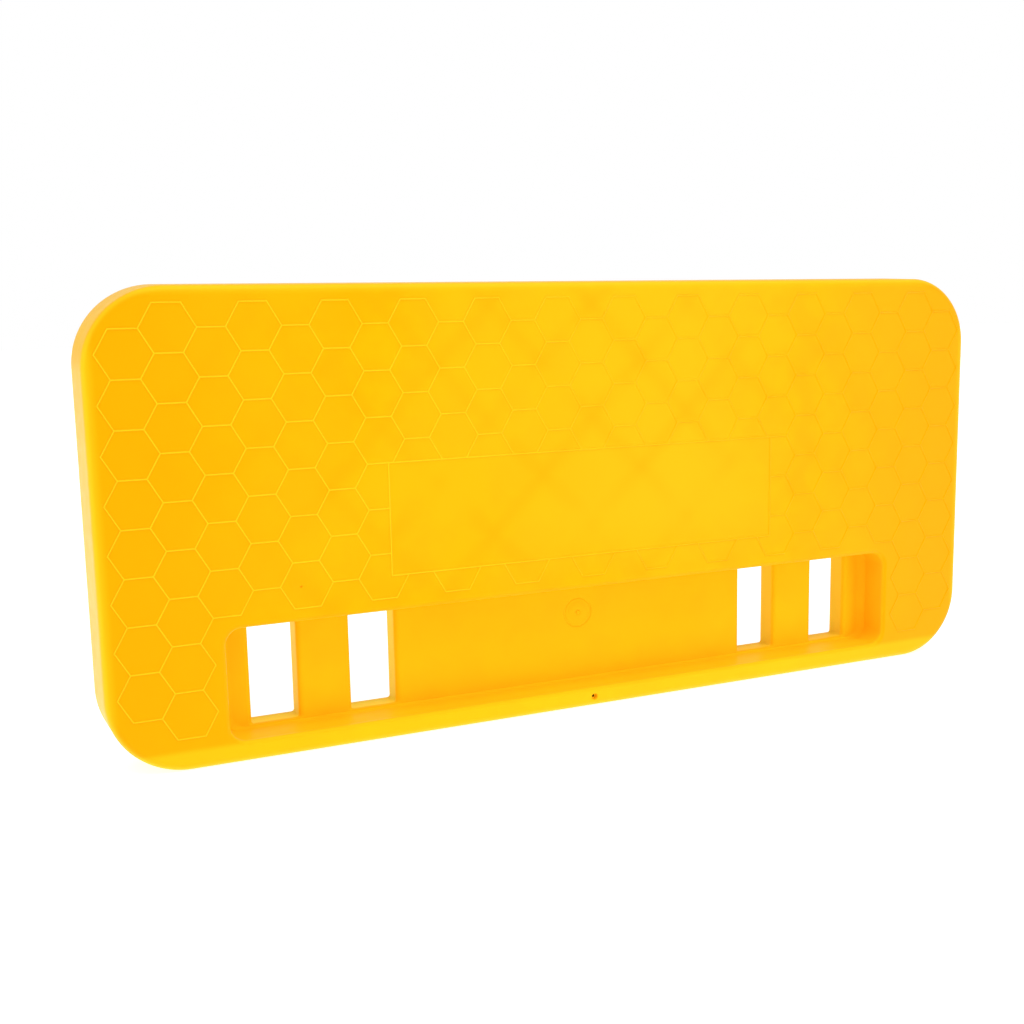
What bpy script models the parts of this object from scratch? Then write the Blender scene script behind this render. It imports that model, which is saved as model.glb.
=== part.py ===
"""Crowd control barrier panel: a front shell and a rear shell of moulded plastic, held by ten screws.

The panel stands on its flat bottom edge. +Z is up, +X is to the right and the face looks along -Y.
The origin is on the ground under the middle of the panel. Lengths are in metres.
"""
import math

import bmesh
import bpy
from mathutils import Matrix

MM = 0.001
WELD = 0.001 * MM

# Panel outline, seen from the front
FACE_WIDTH = 559 * MM
FACE_HEIGHT = 250.8 * MM
CORNER_RADIUS = 42 * MM
CORNER_STEPS = 12
BACK_GROWTH = 1.4 * MM  # the mould draft makes the back this much wider each side and taller

# Depths, measured along Y from the front
DEPTH = 36 * MM
LINE_HEIGHT = 0.4 * MM  # raised lines stand this far proud of the face
FACE_Y = -DEPTH / 2 + LINE_HEIGHT
BACK_Y = DEPTH / 2
RIM_DEPTH = 5.3 * MM
SEAM_Y = FACE_Y + RIM_DEPTH
GAP = 0.3 * MM  # clearance between separate pieces

# Shell walls and their rounded edges
SKIN = 2.4 * MM
EDGE_ROLL = 4.5 * MM
LIP_ROLL = 2.7 * MM
FLOOR_ROLL = 1.2 * MM
BACK_ROLL = 2.6 * MM
ROLL_STEPS = 4
EMBED = 1.2 * MM  # how far a rib, post or ring reaches into the skin it is moulded on
WEB = 0.6 * MM  # thickness of the web that joins the ribs, buried in the face skin

# Trough along the bottom of the face
TROUGH_HALF_WIDTH = 217 * MM
TROUGH_BOTTOM = 11.4 * MM
TROUGH_TOP = 73 * MM
TROUGH_CORNER = 9 * MM
TROUGH_STEPS = 6
TROUGH_DEPTH = 21.5 * MM
TROUGH_FLOOR_Y = FACE_Y + TROUGH_DEPTH

# Slots through the trough's floor
SLOT_WIDTH = 26.7 * MM
SLOT_BOTTOM = 13.4 * MM
SLOT_TOP = 70.4 * MM
SLOT_CORNER = 1.5 * MM
SLOT_STEPS = 4
SLOT_CENTRES = [side * x * MM for side in (-1, 1) for x in (187.7, 130.6)]

# Raised frame round the plain rectangle for a label
LABEL_WIDTH = 249.5 * MM
LABEL_HEIGHT = 62.3 * MM
LABEL_CENTRE_Z = 124 * MM
LINE_WIDTH = 1 * MM

# Drain hole in the strip under the trough
DRAIN_Z = 5.9 * MM
DRAIN_RADIUS = 1.9 * MM

# Tongue behind the front shell's rim, which centres the rear shell
TONGUE_INSET = SKIN + GAP
TONGUE_THICKNESS = 1.8 * MM
TONGUE_LENGTH = 6 * MM
TONGUE_ROOT_Y = FACE_Y + 1.9 * MM
TONGUE_FRONT_Y = FACE_Y + 1.4 * MM

# Diagonal ribs behind the face, as a lattice of diamonds
RIB_PITCH = 64 * MM
RIB_THICKNESS = 2 * MM
RIB_NODE_Z = 110.25 * MM
RIB_BACK_Y = 12.2 * MM
LATTICE_INSET = TONGUE_INSET + TONGUE_THICKNESS / 2

# Screws, their posts in the front shell and their seats in the rear shell
POST_RADIUS = 3.75 * MM
SHANK_RADIUS = 1.9 * MM
SHANK_LENGTH = 20 * MM
POINT_LENGTH = 3 * MM
TIP_ROOM = 1.2 * MM  # depth of the pilot hole past the screw's tip
HEAD_RADIUS = 3.8 * MM
HEAD_HEIGHT = 2.4 * MM
HEAD_PROFILE = [(0, 1), (0.55, 0.95), (0.88, 0.7), (1, 0.3), (1, 0)]  # shares of radius and height
RECESS_LENGTH = 4.4 * MM
RECESS_WIDTH = 1.1 * MM
RECESS_DEPTH = 1.2 * MM
SEAT_RADIUS = 5.4 * MM
SEAT_FLOOR_Y = 14.9 * MM
ROUND_STEPS = 20
SCREW_PLACES = [
    (side * column * RIB_PITCH, RIB_NODE_Z + row * RIB_PITCH)
    for side in (-1, 1)
    for column, row in ((3.5, 1.5), (1.5, 1.5), (1.5, -0.5), (4, 0), (4, -1))
]

BIG = 60 * MM  # cutters run this far past the material
TURN = 2 * math.pi

YELLOW = (0.99, 0.57, 0.005, 1)
PALE_YELLOW = (0.99, 0.62, 0.03, 1)
ZINC = (0.6, 0.6, 0.58, 1)
SATIN = 0.4
PLATED = 0.35

FLAT_LIMIT = math.radians(1)
SHARP_ANGLE = math.radians(30)


def clear_scene():
    for item in list(bpy.data.objects):
        bpy.data.objects.remove(item, do_unlink=True)


def new_collection(name):
    collection = bpy.data.collections.new(name)
    bpy.context.scene.collection.children.link(collection)
    return collection


def material(name, colour, roughness, metallic=0.0):
    result = bpy.data.materials.new(name)
    result.use_nodes = True
    shader = result.node_tree.nodes["Principled BSDF"]
    shader.inputs["Base Color"].default_value = colour
    shader.inputs["Roughness"].default_value = roughness
    shader.inputs["Metallic"].default_value = metallic
    return result


def rounded_rectangle(x, z, width, height, radius, steps):
    """Points of a rounded rectangle round the centre (x, z), counterclockwise."""
    points = []
    for quarter, (side_x, side_z) in enumerate(((1, 1), (-1, 1), (-1, -1), (1, -1))):
        for step in range(steps + 1):
            angle = (quarter + step / steps) * TURN / 4
            points.append((
                x + side_x * (width / 2 - radius) + radius * math.cos(angle),
                z + side_z * (height / 2 - radius) + radius * math.sin(angle),
            ))
    return points


def panel_outline(inset=0.0):
    return rounded_rectangle(0, FACE_HEIGHT / 2, FACE_WIDTH - 2 * inset, FACE_HEIGHT - 2 * inset,
                             CORNER_RADIUS - inset, CORNER_STEPS)


def trough_outline(growth=0.0):
    return rounded_rectangle(0, (TROUGH_TOP + TROUGH_BOTTOM) / 2, 2 * (TROUGH_HALF_WIDTH + growth),
                             TROUGH_TOP - TROUGH_BOTTOM + 2 * growth, TROUGH_CORNER + growth, TROUGH_STEPS)


def slot_outline(x, growth=0.0):
    return rounded_rectangle(x, (SLOT_TOP + SLOT_BOTTOM) / 2, SLOT_WIDTH + 2 * growth,
                             SLOT_TOP - SLOT_BOTTOM + 2 * growth, SLOT_CORNER + growth, SLOT_STEPS)


def label_outline(growth):
    half_x = LABEL_WIDTH / 2 + growth
    half_z = LABEL_HEIGHT / 2 + growth
    return [(x * half_x, LABEL_CENTRE_Z + z * half_z) for x, z in ((1, 1), (-1, 1), (-1, -1), (1, -1))]


def filled_mesh(name, loops, front_y, back_y):
    """Mesh of a filled outline between two depths. A loop inside another is a hole."""
    curve = bpy.data.curves.new(name, "CURVE")
    curve.dimensions = "2D"
    curve.fill_mode = "BOTH"
    curve.extrude = (back_y - front_y) / 2
    for loop in loops:
        spline = curve.splines.new("POLY")
        spline.points.add(len(loop) - 1)
        spline.use_cyclic_u = True
        for point, (x, z) in zip(spline.points, loop):
            point.co = (x, z, 0, 1)
    source = bpy.data.objects.new(name, curve)
    source.rotation_euler.x = TURN / 4
    source.location.y = (front_y + back_y) / 2
    bpy.context.scene.collection.objects.link(source)
    bpy.context.view_layer.update()
    evaluated = source.evaluated_get(bpy.context.evaluated_depsgraph_get())
    mesh = bpy.data.meshes.new_from_object(evaluated)
    mesh.transform(source.matrix_world)
    bpy.data.objects.remove(source)
    bpy.data.curves.remove(curve)
    work = bmesh.new()
    work.from_mesh(mesh)
    bmesh.ops.remove_doubles(work, verts=work.verts, dist=WELD)
    bmesh.ops.dissolve_limit(work, angle_limit=FLAT_LIMIT, verts=work.verts, edges=work.edges)
    bmesh.ops.recalc_face_normals(work, faces=work.faces)
    work.to_mesh(mesh)
    work.free()
    return mesh


def add_object(name, mesh, collection):
    result = bpy.data.objects.new(name, mesh)
    collection.objects.link(result)
    return result


def prism(name, loops, front_y, back_y, collection):
    return add_object(name, filled_mesh(name, loops, front_y, back_y), collection)


def rods(name, places, radius, front_y, back_y, collection):
    """Round rods along Y, one at each place (x, z)."""
    work = bmesh.new()
    turn = Matrix.Rotation(TURN / 4, 4, "X")
    for x, z in places:
        centre = Matrix.Translation((x, (front_y + back_y) / 2, z))
        bmesh.ops.create_cone(work, cap_ends=True, segments=ROUND_STEPS, radius1=radius, radius2=radius,
                              depth=back_y - front_y, matrix=centre @ turn)
    mesh = bpy.data.meshes.new(name)
    work.to_mesh(mesh)
    work.free()
    return add_object(name, mesh, collection)


def diamonds(name, front_y, back_y, collection):
    """The open cells between the diagonal ribs."""
    work = bmesh.new()
    side = RIB_PITCH / math.sqrt(2) - RIB_THICKNESS
    size = Matrix.Diagonal((side, back_y - front_y, side, 1))
    turn = Matrix.Rotation(TURN / 8, 4, "Y")
    columns = math.ceil(FACE_WIDTH / RIB_PITCH) + 1
    rows = math.ceil(FACE_HEIGHT / RIB_PITCH) + 1
    for column in range(-columns, columns + 1):
        for row in range(-2 * rows, 2 * rows + 1):
            if (column + row) % 2 == 0:
                continue
            x = column * RIB_PITCH / 2
            z = RIB_NODE_Z + row * RIB_PITCH / 2
            centre = Matrix.Translation((x, (front_y + back_y) / 2, z))
            bmesh.ops.create_cube(work, size=1, matrix=centre @ turn @ size)
    mesh = bpy.data.meshes.new(name)
    work.to_mesh(mesh)
    work.free()
    return add_object(name, mesh, collection)


def boolean(target, operand, operation):
    step = target.modifiers.new(operation.lower() + "_" + operand.name, "BOOLEAN")
    step.operation = operation
    step.solver = "EXACT"
    step.object = operand


def show_as_cutter(item):
    item.hide_render = True
    item.display_type = "WIRE"


def open_loops(work):
    """The open edges of a flat surface, as its outer loop and the edges of its hole."""
    edges = [edge for edge in work.edges if edge.is_boundary]
    reach = TROUGH_HALF_WIDTH + EDGE_ROLL
    inner = [edge for edge in edges if all(abs(v.co.x) < reach and v.co.z < TROUGH_TOP + EDGE_ROLL
                                           and v.co.z > TROUGH_BOTTOM / 2 for v in edge.verts)]
    outer = [edge for edge in edges if edge not in inner]
    return outer, inner


def extrude_loop(work, edges, distance):
    """Draw a loop of open edges out along Y, and return the new loop."""
    result = bmesh.ops.extrude_edge_only(work, edges=edges)
    verts = [item for item in result["geom"] if isinstance(item, bmesh.types.BMVert)]
    bmesh.ops.translate(work, verts=verts, vec=(0, distance, 0))
    moved = set(verts)
    return [edge for edge in work.edges if edge.verts[0] in moved and edge.verts[1] in moved]


def face_outwards(work, direction):
    """Turn the surface so that its largest face looks along Y in the given direction."""
    bmesh.ops.recalc_face_normals(work, faces=work.faces)
    largest = max(work.faces, key=lambda face: face.calc_area())
    if largest.normal.y * direction < 0:
        bmesh.ops.reverse_faces(work, faces=work.faces)


def finish_shell(name, work, roll, collection):
    """Make the open surface an object with rounded edges and a wall."""
    mesh = bpy.data.meshes.new(name)
    work.to_mesh(mesh)
    work.free()
    shell = add_object(name, mesh, collection)
    rounding = shell.modifiers.new("rounded_edges", "BEVEL")
    rounding.limit_method = "WEIGHT"
    rounding.width = roll
    rounding.segments = ROLL_STEPS
    rounding.loop_slide = False
    rounding.use_clamp_overlap = False
    wall = shell.modifiers.new("wall", "SOLIDIFY")
    wall.thickness = SKIN
    wall.offset = -1
    wall.use_even_offset = True
    return shell


def front_skin(collection):
    """The face with its rolled edge and the trough, as one bent skin."""
    mesh = filled_mesh("front_skin", [panel_outline(), trough_outline()], FACE_Y, FACE_Y)
    work = bmesh.new()
    work.from_mesh(mesh)
    bpy.data.meshes.remove(mesh)
    weight = work.edges.layers.float.new("bevel_weight_edge")
    outer, inner = open_loops(work)
    for edge in outer:
        edge[weight] = 1
    for edge in inner:
        edge[weight] = LIP_ROLL / EDGE_ROLL
    rim = extrude_loop(work, outer, SEAM_Y - FACE_Y)
    floor = extrude_loop(work, inner, TROUGH_DEPTH)
    for edge in rim:
        edge[weight] = 0
    for edge in floor:
        edge[weight] = FLOOR_ROLL / EDGE_ROLL
    bmesh.ops.edgeloop_fill(work, edges=floor)
    face_outwards(work, -1)
    return finish_shell("front_shell", work, EDGE_ROLL, collection)


def rear_skin(collection):
    """The side wall and the back, as one bent skin whose wall narrows towards the seam."""
    mesh = filled_mesh("rear_skin", [panel_outline()], BACK_Y, BACK_Y)
    grow = Matrix.Diagonal(((FACE_WIDTH + 2 * BACK_GROWTH) / FACE_WIDTH, 1,
                            (FACE_HEIGHT + BACK_GROWTH) / FACE_HEIGHT, 1))
    work = bmesh.new()
    work.from_mesh(mesh)
    bpy.data.meshes.remove(mesh)
    weight = work.edges.layers.float.new("bevel_weight_edge")
    outer = [edge for edge in work.edges if edge.is_boundary]
    for edge in outer:
        edge[weight] = 1
    back = list(work.verts)
    rim = extrude_loop(work, outer, SEAM_Y + GAP - BACK_Y)
    for edge in rim:
        edge[weight] = 0
    bmesh.ops.transform(work, matrix=grow, verts=back)
    face_outwards(work, 1)
    return finish_shell("rear_shell", work, BACK_ROLL, collection)


def rib_lattice(helpers):
    """Diagonal ribs and a thin web that is buried in the face skin."""
    web_front = FACE_Y + EMBED
    web_back = web_front + WEB
    lattice = prism("rib_lattice", [panel_outline(LATTICE_INSET)], web_front, RIB_BACK_Y, helpers)
    boolean(lattice, prism("trough_room", [trough_outline(SKIN / 2)], -BIG, BIG, helpers), "DIFFERENCE")
    boolean(lattice, diamonds("rib_cells", web_back, BIG, helpers), "DIFFERENCE")
    return lattice


def tongue(helpers):
    """A ring that thickens the rim and runs on behind the seam as a tongue."""
    inset = TONGUE_INSET + TONGUE_THICKNESS
    root = prism("tongue_root", [panel_outline(SKIN / 2), panel_outline(inset + GAP)],
                 TONGUE_ROOT_Y, SEAM_Y - GAP, helpers)
    ring = prism("tongue", [panel_outline(TONGUE_INSET), panel_outline(inset)],
                 TONGUE_FRONT_Y, SEAM_Y + TONGUE_LENGTH, helpers)
    return [root, ring]


def slots(name, front_y, back_y, growth, helpers):
    loops = [slot_outline(x, growth) for x in SLOT_CENTRES]
    return prism(name, loops, front_y, back_y, helpers)


def build_front_shell(parts, helpers):
    shell = front_skin(parts)
    label_frame = prism("label_frame", [label_outline(LINE_WIDTH / 2), label_outline(-LINE_WIDTH / 2)],
                        FACE_Y - LINE_HEIGHT, FACE_Y + LINE_HEIGHT, helpers)
    posts = rods("screw_posts", SCREW_PLACES, POST_RADIUS, FACE_Y + EMBED, RIB_BACK_Y, helpers)
    for piece in [rib_lattice(helpers)] + tongue(helpers) + [posts, label_frame]:
        boolean(shell, piece, "UNION")
    pilot_y = SEAT_FLOOR_Y + GAP - SHANK_LENGTH - TIP_ROOM
    pilots = rods("pilot_holes", SCREW_PLACES, SHANK_RADIUS + GAP, pilot_y, BIG, helpers)
    drain = rods("drain_hole", [(0, DRAIN_Z)], DRAIN_RADIUS, -BIG, SEAM_Y + TONGUE_LENGTH + GAP, helpers)
    for cutter in (slots("front_slots", -BIG, BIG, 0, helpers), pilots, drain):
        boolean(shell, cutter, "DIFFERENCE")
    return shell


def build_rear_shell(parts, helpers):
    shell = rear_skin(parts)
    collars = slots("slot_collars", TROUGH_FLOOR_Y + SKIN + GAP, BACK_Y - EMBED, SKIN, helpers)
    seats = rods("screw_seats", SCREW_PLACES, SEAT_RADIUS, RIB_BACK_Y + GAP, BACK_Y - EMBED, helpers)
    for piece in (collars, seats):
        boolean(shell, piece, "UNION")
    recesses = rods("head_recesses", SCREW_PLACES, HEAD_RADIUS + GAP, SEAT_FLOOR_Y, BIG, helpers)
    clearances = rods("shank_holes", SCREW_PLACES, SHANK_RADIUS + GAP, RIB_BACK_Y, BIG, helpers)
    for cutter in (slots("rear_slots", -BIG, BIG, 0, helpers), recesses, clearances):
        boolean(shell, cutter, "DIFFERENCE")
    return shell


def screw_mesh(helpers):
    """A pan-head screw with a cross recess, its head's underside at z = 0."""
    profile = [(wide * HEAD_RADIUS, high * HEAD_HEIGHT) for wide, high in HEAD_PROFILE]
    profile += [(SHANK_RADIUS, 0), (SHANK_RADIUS, POINT_LENGTH - SHANK_LENGTH), (0, -SHANK_LENGTH)]
    mesh = bpy.data.meshes.new("screw_profile")
    mesh.from_pydata([(x, 0, z) for x, z in profile], [(i, i + 1) for i in range(len(profile) - 1)], [])
    turned = add_object("turned_screw", mesh, helpers)
    spin = turned.modifiers.new("turn", "SCREW")
    spin.steps = ROUND_STEPS
    spin.render_steps = ROUND_STEPS
    spin.use_merge_vertices = True
    spin.merge_threshold = WELD
    recess = bmesh.new()
    blade = Matrix.Diagonal((RECESS_LENGTH, RECESS_WIDTH, 2 * RECESS_DEPTH, 1))
    for turn in (0, TURN / 4):
        place = Matrix.Translation((0, 0, HEAD_HEIGHT)) @ Matrix.Rotation(turn, 4, "Z")
        bmesh.ops.create_cube(recess, size=1, matrix=place @ blade)
    cross_mesh = bpy.data.meshes.new("cross_recess")
    recess.to_mesh(cross_mesh)
    recess.free()
    cross = add_object("cross_recess", cross_mesh, helpers)
    step = turned.modifiers.new("cross_recess", "BOOLEAN")
    step.operation = "DIFFERENCE"
    step.solver = "EXACT"
    step.use_self = True
    step.object = cross
    bpy.context.view_layer.update()
    evaluated = turned.evaluated_get(bpy.context.evaluated_depsgraph_get())
    result = bpy.data.meshes.new_from_object(evaluated)
    result.name = "screw"
    bpy.data.objects.remove(turned)
    return result


def build_screws(parts, helpers):
    mesh = screw_mesh(helpers)
    screws = []
    for number, (x, z) in enumerate(SCREW_PLACES, 1):
        screw = add_object(f"screw_{number:02d}", mesh, parts)
        screw.location = (x, SEAT_FLOOR_Y + GAP, z)
        screw.rotation_euler.x = -TURN / 4
        screws.append(screw)
    return screws


def finish_object(item, finish):
    item.data.materials.clear()
    item.data.materials.append(finish)
    item.data.shade_smooth()
    item.data.set_sharp_from_angle(angle=SHARP_ANGLE)


def main():
    clear_scene()
    parts = new_collection("crowd_control_barrier")
    helpers = new_collection("cutters")
    finish_object(build_front_shell(parts, helpers), material("front_plastic", YELLOW, SATIN))
    finish_object(build_rear_shell(parts, helpers), material("rear_plastic", PALE_YELLOW, SATIN))
    steel = material("zinc_steel", ZINC, PLATED, metallic=1)
    for screw in build_screws(parts, helpers):
        finish_object(screw, steel)
    for item in helpers.objects:
        show_as_cutter(item)


main()
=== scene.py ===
"""Looks of the crowd control barrier panel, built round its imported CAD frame.

The front moulding carries a raised honeycomb, a plain label rectangle, a sunk trough and four slots.
The rear moulding closes the back, and ten screws hold the two together.
Lengths are in metres, +Z is up, and the face looks along -Y.
"""

import math

import bmesh
import bpy
from mathutils import Matrix, Vector, geometry


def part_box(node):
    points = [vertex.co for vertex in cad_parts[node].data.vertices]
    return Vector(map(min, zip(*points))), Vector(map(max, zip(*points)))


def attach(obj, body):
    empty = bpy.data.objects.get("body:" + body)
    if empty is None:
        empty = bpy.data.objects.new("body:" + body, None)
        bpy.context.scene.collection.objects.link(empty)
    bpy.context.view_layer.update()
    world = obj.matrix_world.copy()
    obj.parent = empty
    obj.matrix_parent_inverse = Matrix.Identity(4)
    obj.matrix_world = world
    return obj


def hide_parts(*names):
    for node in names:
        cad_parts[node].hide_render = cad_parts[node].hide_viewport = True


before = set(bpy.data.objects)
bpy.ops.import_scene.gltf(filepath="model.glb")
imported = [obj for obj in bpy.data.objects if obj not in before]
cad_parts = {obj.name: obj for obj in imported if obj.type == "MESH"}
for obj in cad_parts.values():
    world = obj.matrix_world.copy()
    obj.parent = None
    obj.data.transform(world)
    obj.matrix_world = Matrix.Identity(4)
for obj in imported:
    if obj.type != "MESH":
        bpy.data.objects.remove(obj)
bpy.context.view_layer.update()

MM = 0.001
WELD = 0.001 * MM
FLAT_ANGLE = 0.5  # in degrees, up to which neighbouring faces are joined
SHARP_ANGLE = 35  # in degrees, from which an edge is shown sharp
LARGE_FACE_WEIGHT = 100  # full weight for large faces in the shading
FINE_ROLL_STEPS = 10
ROLL_STEPS = 8
SMALL_ROLL_STEPS = 4

# Sizes read from the frame
FRONT_LOW, FRONT_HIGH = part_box("front_shell")
REAR_LOW, REAR_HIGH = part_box("rear_shell")
SCREWS = [f"screw_{number:02d}" for number in range(1, 11)]
SCREW_PLACES = [((low.x + high.x) / 2, (low.z + high.z) / 2) for low, high in map(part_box, SCREWS)]
SCREW_TIP_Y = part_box(SCREWS[0])[0].y
SCREW_TOP_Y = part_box(SCREWS[0])[1].y

# Panel outline
FACE_WIDTH = FRONT_HIGH.x - FRONT_LOW.x
FACE_HEIGHT = FRONT_HIGH.z - FRONT_LOW.z
BACK_GROWTH = 1.4 * MM
CORNER_RADIUS = 42 * MM
CORNER_STEPS = 28

# Depths along Y
CREST_Y = FRONT_LOW.y
LINE_HEIGHT = 0.4 * MM
FACE_Y = CREST_Y + LINE_HEIGHT
RIB_BACK_Y = FRONT_HIGH.y
REAR_Y = REAR_LOW.y
BACK_Y = REAR_HIGH.y
GAP = 0.3 * MM
SEAM_GAP = 0.1 * MM
SEAM_Y = REAR_Y - SEAM_GAP

# Walls and rounded edges
SKIN = 2.4 * MM
EDGE_ROLL = 4.5 * MM
BACK_ROLL = 2.6 * MM
SEAM_CHAMFER = 0.12 * MM
TONGUE_INSET = SKIN + GAP
TONGUE_THICKNESS = 1.8 * MM
TONGUE_Y = SEAM_Y + 6 * MM

# Trough
TROUGH_HALF_WIDTH = 217 * MM
TROUGH_BOTTOM = 11.4 * MM
TROUGH_TOP = 73 * MM
TROUGH_CORNER = 9 * MM
TROUGH_STEPS = 12
TROUGH_FLOOR_Y = FACE_Y + 21.5 * MM
TROUGH_BACK_Y = TROUGH_FLOOR_Y + SKIN
TROUGH_DRAFT = 0.2 * MM
LIP_ROLL = 2.7 * MM
FILLET_HEIGHT = 1.25 * MM
FILLET_WIDTH = 6 * MM
FILLET_DEPTH = 4 * MM

# Slots
SLOT_WIDTH = 26.7 * MM
SLOT_BOTTOM = 13.4 * MM
SLOT_TOP = 70.4 * MM
SLOT_CORNER = 1.5 * MM
SLOT_STEPS = 5
SLOT_CENTRES = [side * x * MM for side in (-1, 1) for x in (187.7, 130.6)]
MOUTH_HEIGHT = 0.4 * MM
MOUTH_WIDTH = 3 * MM
MOUTH_DEPTH = 2.2 * MM
SLOT_GAP = 0.06 * MM
SLOT_CHAMFER = 0.08 * MM

# Honeycomb of raised lines round the label rectangle
CELL_HEIGHT = 24.908 * MM
CELL_PITCH = CELL_HEIGHT * math.sqrt(3) / 2
TOP_LEVEL = FACE_HEIGHT - 8.5 * MM
MIDDLE_COLUMN = 12
CELL_ROWS = 6
END_COLUMN_ROWS = {0: 8, 1: 9}  # rows in the first and second column from each end
LABEL_HALF_WIDTH = 124.75 * MM
LABEL_LEVELS = (12, 7)
LINE_STEPS = [(0.15, 0), (0.35, 0.12), (0.6, 0.4)]  # distance from the middle and fall, in mm
BORDER_SHARE = 0.8  # outside the honeycomb's border, lines fall within this share of those distances

# Small marks. The drain's and the dimple's profiles give the radius at each depth.
CLEAR_Y = CREST_Y - GAP
CUTTER_STEPS = 28
FLARE = 1.2
DRAIN_Z = 5.9 * MM
DRAIN_RADIUS = 1.9 * MM
DRAIN_TAPER = 0.9
DRAIN_SINK_Y = FACE_Y + 2.2 * MM
DRAIN_NECK = 0.4 * MM
DRAIN_END_Y = TONGUE_Y + GAP
DRAIN_PROFILE = [
    (DRAIN_RADIUS * FLARE, CLEAR_Y), (DRAIN_RADIUS * FLARE, FACE_Y), (DRAIN_RADIUS, FACE_Y + GAP),
    (DRAIN_RADIUS * DRAIN_TAPER, DRAIN_SINK_Y), (DRAIN_NECK, DRAIN_SINK_Y + GAP), (DRAIN_NECK, DRAIN_END_Y),
]
DIMPLE = (-175.75 * MM, 92.05 * MM)
DIMPLE_RADIUS = 0.6 * MM
DIMPLE_PROFILE = [
    (DIMPLE_RADIUS * FLARE, CLEAR_Y), (DIMPLE_RADIUS * FLARE, FACE_Y),
    (DIMPLE_RADIUS / 2, FACE_Y + DIMPLE_RADIUS),
]
GATE_Z = 53.5 * MM
GATE_PROFILE = [(9.6, 0), (9.1, 0.35), (8.5, 0.35), (8.0, 0), (6.4, 0), (5.6, -0.5), (2.4, -0.6),
                (1.8, -0.25), (1.2, -0.25), (0.8, -0.8)]  # radius and depth of each circle, in mm

# Ribs, posts and pilot holes behind the face
RIB_PITCH = 64 * MM
RIB_THICKNESS = 2 * MM
RIB_NODE_Z = 110.25 * MM
RIB_COLUMNS = range(-9, 10)
RIB_ROWS = range(-4, 6)
POST_STEPS = 24
POST_RADIUS = 3.75 * MM
SHANK_RADIUS = 1.9 * MM
PILOT_Y = SCREW_TIP_Y - 4 * GAP

# Screw seats
HEAD_RADIUS = 3.8 * MM
HEAD_HEIGHT = 2.4 * MM
SEAT_RADIUS = 5.4 * MM
SEAT_FLOOR_Y = 14.9 * MM
SEAT_FRONT_Y = RIB_BACK_Y + GAP
SEAT_CHAMFER = 0.35 * MM
ROUND_STEPS = 40

# Back face
SLOT_BACK_ROLL = 0.8 * MM
MARK_RADIUS = 4 * MM
MARK_DEPTH = 0.15 * MM
MARKS = [(side * x * MM, z * MM) for side in (-1, 1) for x, z in ((40, 206), (160, 142), (236, 174))]

# Screws
SCREW_STEPS = 32
THREAD_PITCH = 1.6 * MM
THREAD_CORE = SHANK_RADIUS * 0.76
THREAD_NARROWNESS = 4
THREAD_START = 1.2 * MM
ROWS_PER_TURN = 10
NECK_SHARE = 0.98
POINT_LENGTH = 2.4 * MM
POINT_SHARE = 0.25
POINT_RADIUS = 0.02 * MM
HEAD_PROFILE = [(0.18, 1.0), (0.45, 0.985), (0.66, 0.93), (0.83, 0.8), (0.94, 0.6), (0.99, 0.36), (1.0, 0.16),
                (0.985, 0.03), (0.96, 0.0)]  # shares of the head's radius and height
RECESS_MOUTH = (4.6 * MM, 1.15 * MM, 0.4 * MM)  # length, width and height over the head's top
RECESS_BOTTOM = (2.2 * MM, 0.7 * MM, -1.6 * MM)
SCREW_TURN = 0.7  # in radians, from each screw to the next

# Painted light (paler), painted shade (deeper) and duller plastic: two places along an axis, and the shares
# at the two
CREST_LINES = (CREST_Y + 0.05 * MM, CREST_Y + 0.2 * MM, 1.0, 0.0)
LINES_ALONG = (-150 * MM, 80 * MM, 0.6, 0.08)
TOP_RIM = (FACE_HEIGHT - 6 * MM, FACE_HEIGHT, 0.0, 0.4)
STRIP = (9 * MM, 13 * MM, 0.4, 0.0)
END_RIMS = (FACE_WIDTH / 2 - 7 * MM, FACE_WIDTH / 2, 0.0, 0.5)
BEHIND_FACE = (FACE_Y + 0.1 * MM, FACE_Y + 1.6 * MM, 0.0, 0.4)
SLOT_MOUTHS = (TROUGH_FLOOR_Y, TROUGH_BACK_Y, 0.0, 1.0)
SLOTS_SIDEWAYS = (210 * MM, 220 * MM, 1.0, 0.0)
SLOTS_UP = (SLOT_TOP, SLOT_TOP + 8 * MM, 1.0, 0.0)
SLOTS_ALONG = (-120 * MM, 120 * MM, 0.9, 0.4)
BEFORE_BACK = (BACK_Y - 3 * MM, BACK_Y, 1.0, 0.0)
OVAL_LEFT = (-130 * MM, 20 * MM, 0.0, 1.0)
OVAL_RIGHT = (40 * MM, 160 * MM, 1.0, 0.0)
OVAL_BOTTOM = (70 * MM, 120 * MM, 0.0, 1.0)
OVAL_TOP = (140 * MM, 235 * MM, 0.75, 0.35)
ENDS_FACE = (FACE_Y + 0.3 * MM, FACE_Y + 2 * MM, 1.0, 0.0)
ENDS_SIDEWAYS = (120 * MM, 270 * MM, 0.0, 0.9)
SUNK_SIDEWAYS = (222 * MM, 230 * MM, 1.0, 0.0)
SUNK_UP = (TROUGH_TOP, TROUGH_TOP + 8 * MM, 1.0, 0.0)
SUNK_DEPTH = (FACE_Y + 1 * MM, FACE_Y + 5 * MM, 0.0, 1.0)
SUNK_GLOSS = 0.03

# Plastic's mottling and rib shadows
PLASTIC_IOR = 1.49
PLASTIC_SHEEN = (1.0, 0.8, 0.03, 1)
MOTTLE_SHARE = 0.5
CLOUD_SHARE = 0.6
RIB_SHARE = 0.3
CROSSING_SHARE = 0.2
RIB_BLUR = 13 * MM

# Studio
WORLD_LEVEL = 0.5
SUN_POWER = 1.2
SUN_SPREAD = 30  # in degrees
FLOOR_GLOW = 0.75
FLOOR_REACH = 12
FLOOR_CELLS = 8
FLOOR_Z = -0.05 * MM

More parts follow.
